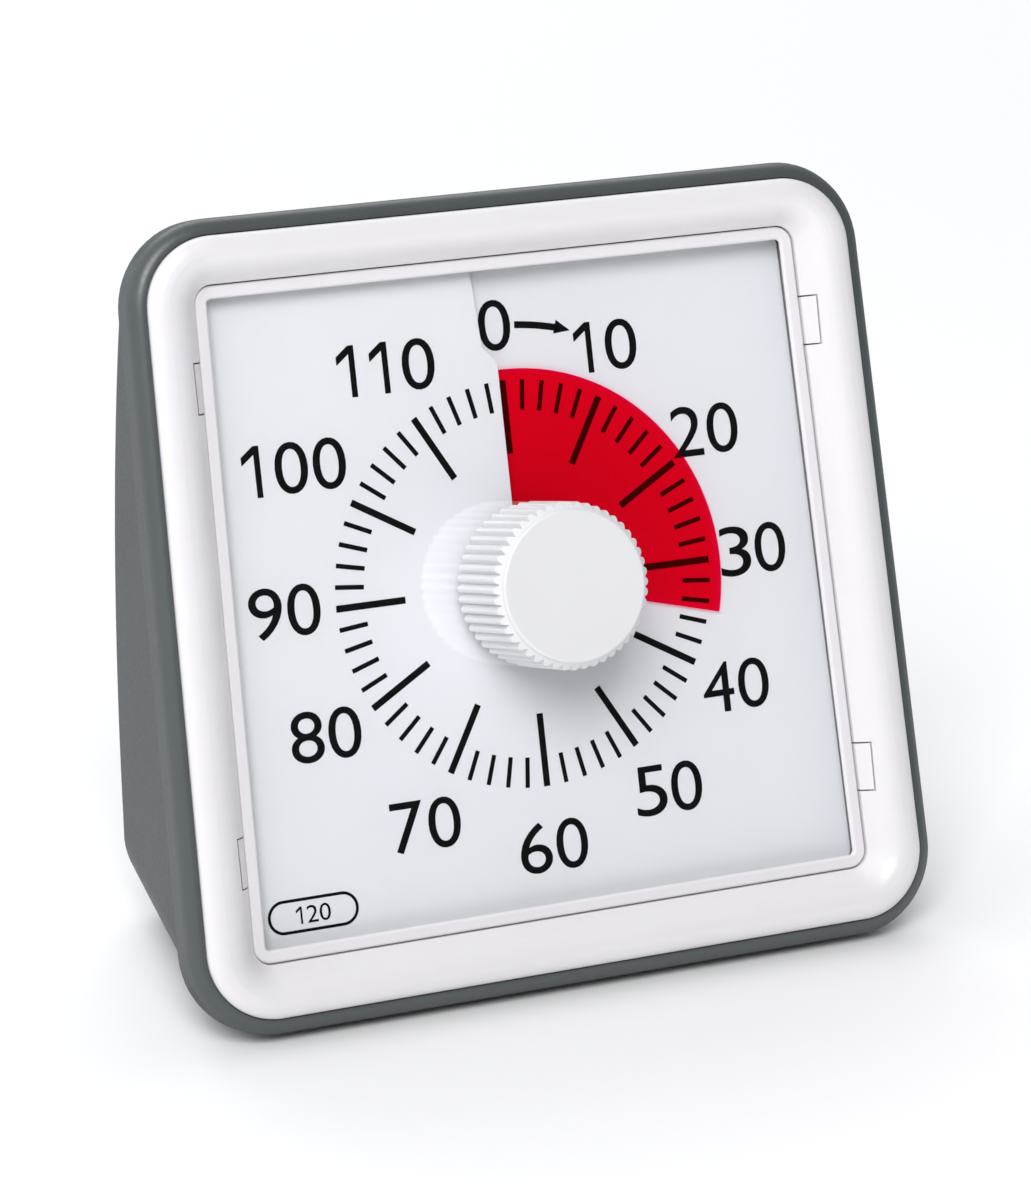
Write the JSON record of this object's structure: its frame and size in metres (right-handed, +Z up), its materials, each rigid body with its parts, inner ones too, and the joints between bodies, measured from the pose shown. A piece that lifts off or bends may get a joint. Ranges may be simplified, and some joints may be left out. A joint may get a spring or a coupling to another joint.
{
  "type": "visual countdown timer",
  "caption": "Free-standing visual countdown timer: leaned square face, red disc that shows the minutes left, knurled centre knob, grey wedge housing with a rear battery door.",
  "frame": {"origin": "centre of the footprint's bounding box on the table under the timer", "axes": "+X to the right of someone facing the dial, +Y towards the rear, +Z up; the dial faces -Y and leans back"},
  "size_m": [0.0814, 0.0408, 0.0778],
  "materials": {
    "shell_grey": "satin",
    "bezel_white": "satin",
    "lens_clear": "clear, polished",
    "card_white": "matte, printed",
    "film_red": "translucent",
    "knob_white": "satin",
    "inner_white": "matte",
    "inner_black": "matte",
    "steel": "plated",
    "brass": "machined",
    "copper": "lacquered wire",
    "board_green": "solder mask",
    "cell_label": "printed label",
    "rubber": "matte"
  },
  "bodies": {
    "housing": {"rear_shell": "shell_grey", "front_bezel": "bezel_white", "clear_lens": "lens_clear", "lens_frame": "bezel_white", "dial_card": "card_white", "dial_plate": "inner_white", "transfer_arbor": "steel", "motor_stator": "steel", "motor_coil": "copper", "movement_case": "inner_black", "circuit_board": "board_green", "control_chip": "inner_black", "buzzer": "inner_black", "switch_body": "steel", "zero_contact": "brass", "battery_cell": "cell_label", "contact_positive": "steel", "contact_negative": "steel", "shell_screws": "steel", "bezel_screws": "steel", "case_screws": "steel", "board_screws": "steel", "rubber_feet": "rubber"},
    "knob": {"knob": "knob_white", "knob_spindle": "steel", "drive_collar": "brass", "clutch_spring": "steel", "zero_cam": "brass"},
    "disc": {"red_disc": "film_red", "disc_hub": "inner_white"},
    "output_wheel": {"output_wheel": "brass"},
    "transfer_wheel": {"transfer_wheel": "brass"},
    "motor_rotor": {"motor_rotor": "inner_black"},
    "sound_switch": {"sound_switch": "shell_grey"},
    "battery_door": {"battery_door": "shell_grey"}
  },
  "joints": [
    {"name": "knob_turn", "type": "hinge", "parent": "housing", "child": "knob", "pos_m": [0, -0.00559, 0.0391], "axis": [0, 0.9646, -0.2639], "range_deg": [-105, 255]},
    {"name": "disc_float", "type": "slide", "parent": "knob", "child": "disc", "axis": [0, -0.9646, 0.2639], "range_m": [-0.0002624, 0.0006373]},
    {"name": "output_turn", "type": "hinge", "parent": "housing", "child": "output_wheel", "pos_m": [0, -0.00559, 0.0391], "axis": [0, 0.9646, -0.2639], "continuous": true},
    {"name": "transfer_turn", "type": "hinge", "parent": "housing", "child": "transfer_wheel", "pos_m": [0.0075, -0.00902, 0.02657], "axis": [0, 0.9646, -0.2639], "continuous": true},
    {"name": "rotor_turn", "type": "hinge", "parent": "housing", "child": "motor_rotor", "pos_m": [-0.0054, -0.00944, 0.02504], "axis": [0, 0.9646, -0.2639], "continuous": true},
    {"name": "switch_slide", "type": "slide", "parent": "housing", "child": "sound_switch", "axis": [1, 0, 0], "range_m": [-0.002, 0.002]},
    {"name": "door_tilt", "type": "hinge", "parent": "housing", "child": "battery_door", "pos_m": [0, 0.02041, 0.00485], "axis": [-1, 0, 0], "range_deg": [0, 70]}
  ],
  "couplings": [
    {"joint": "knob_turn", "follows": "disc_float", "rad_per_m": 6981.3},
    {"joint": "output_turn", "follows": "transfer_turn", "ratio": -0.25},
    {"joint": "rotor_turn", "follows": "transfer_turn", "ratio": -4.2}
  ]
}
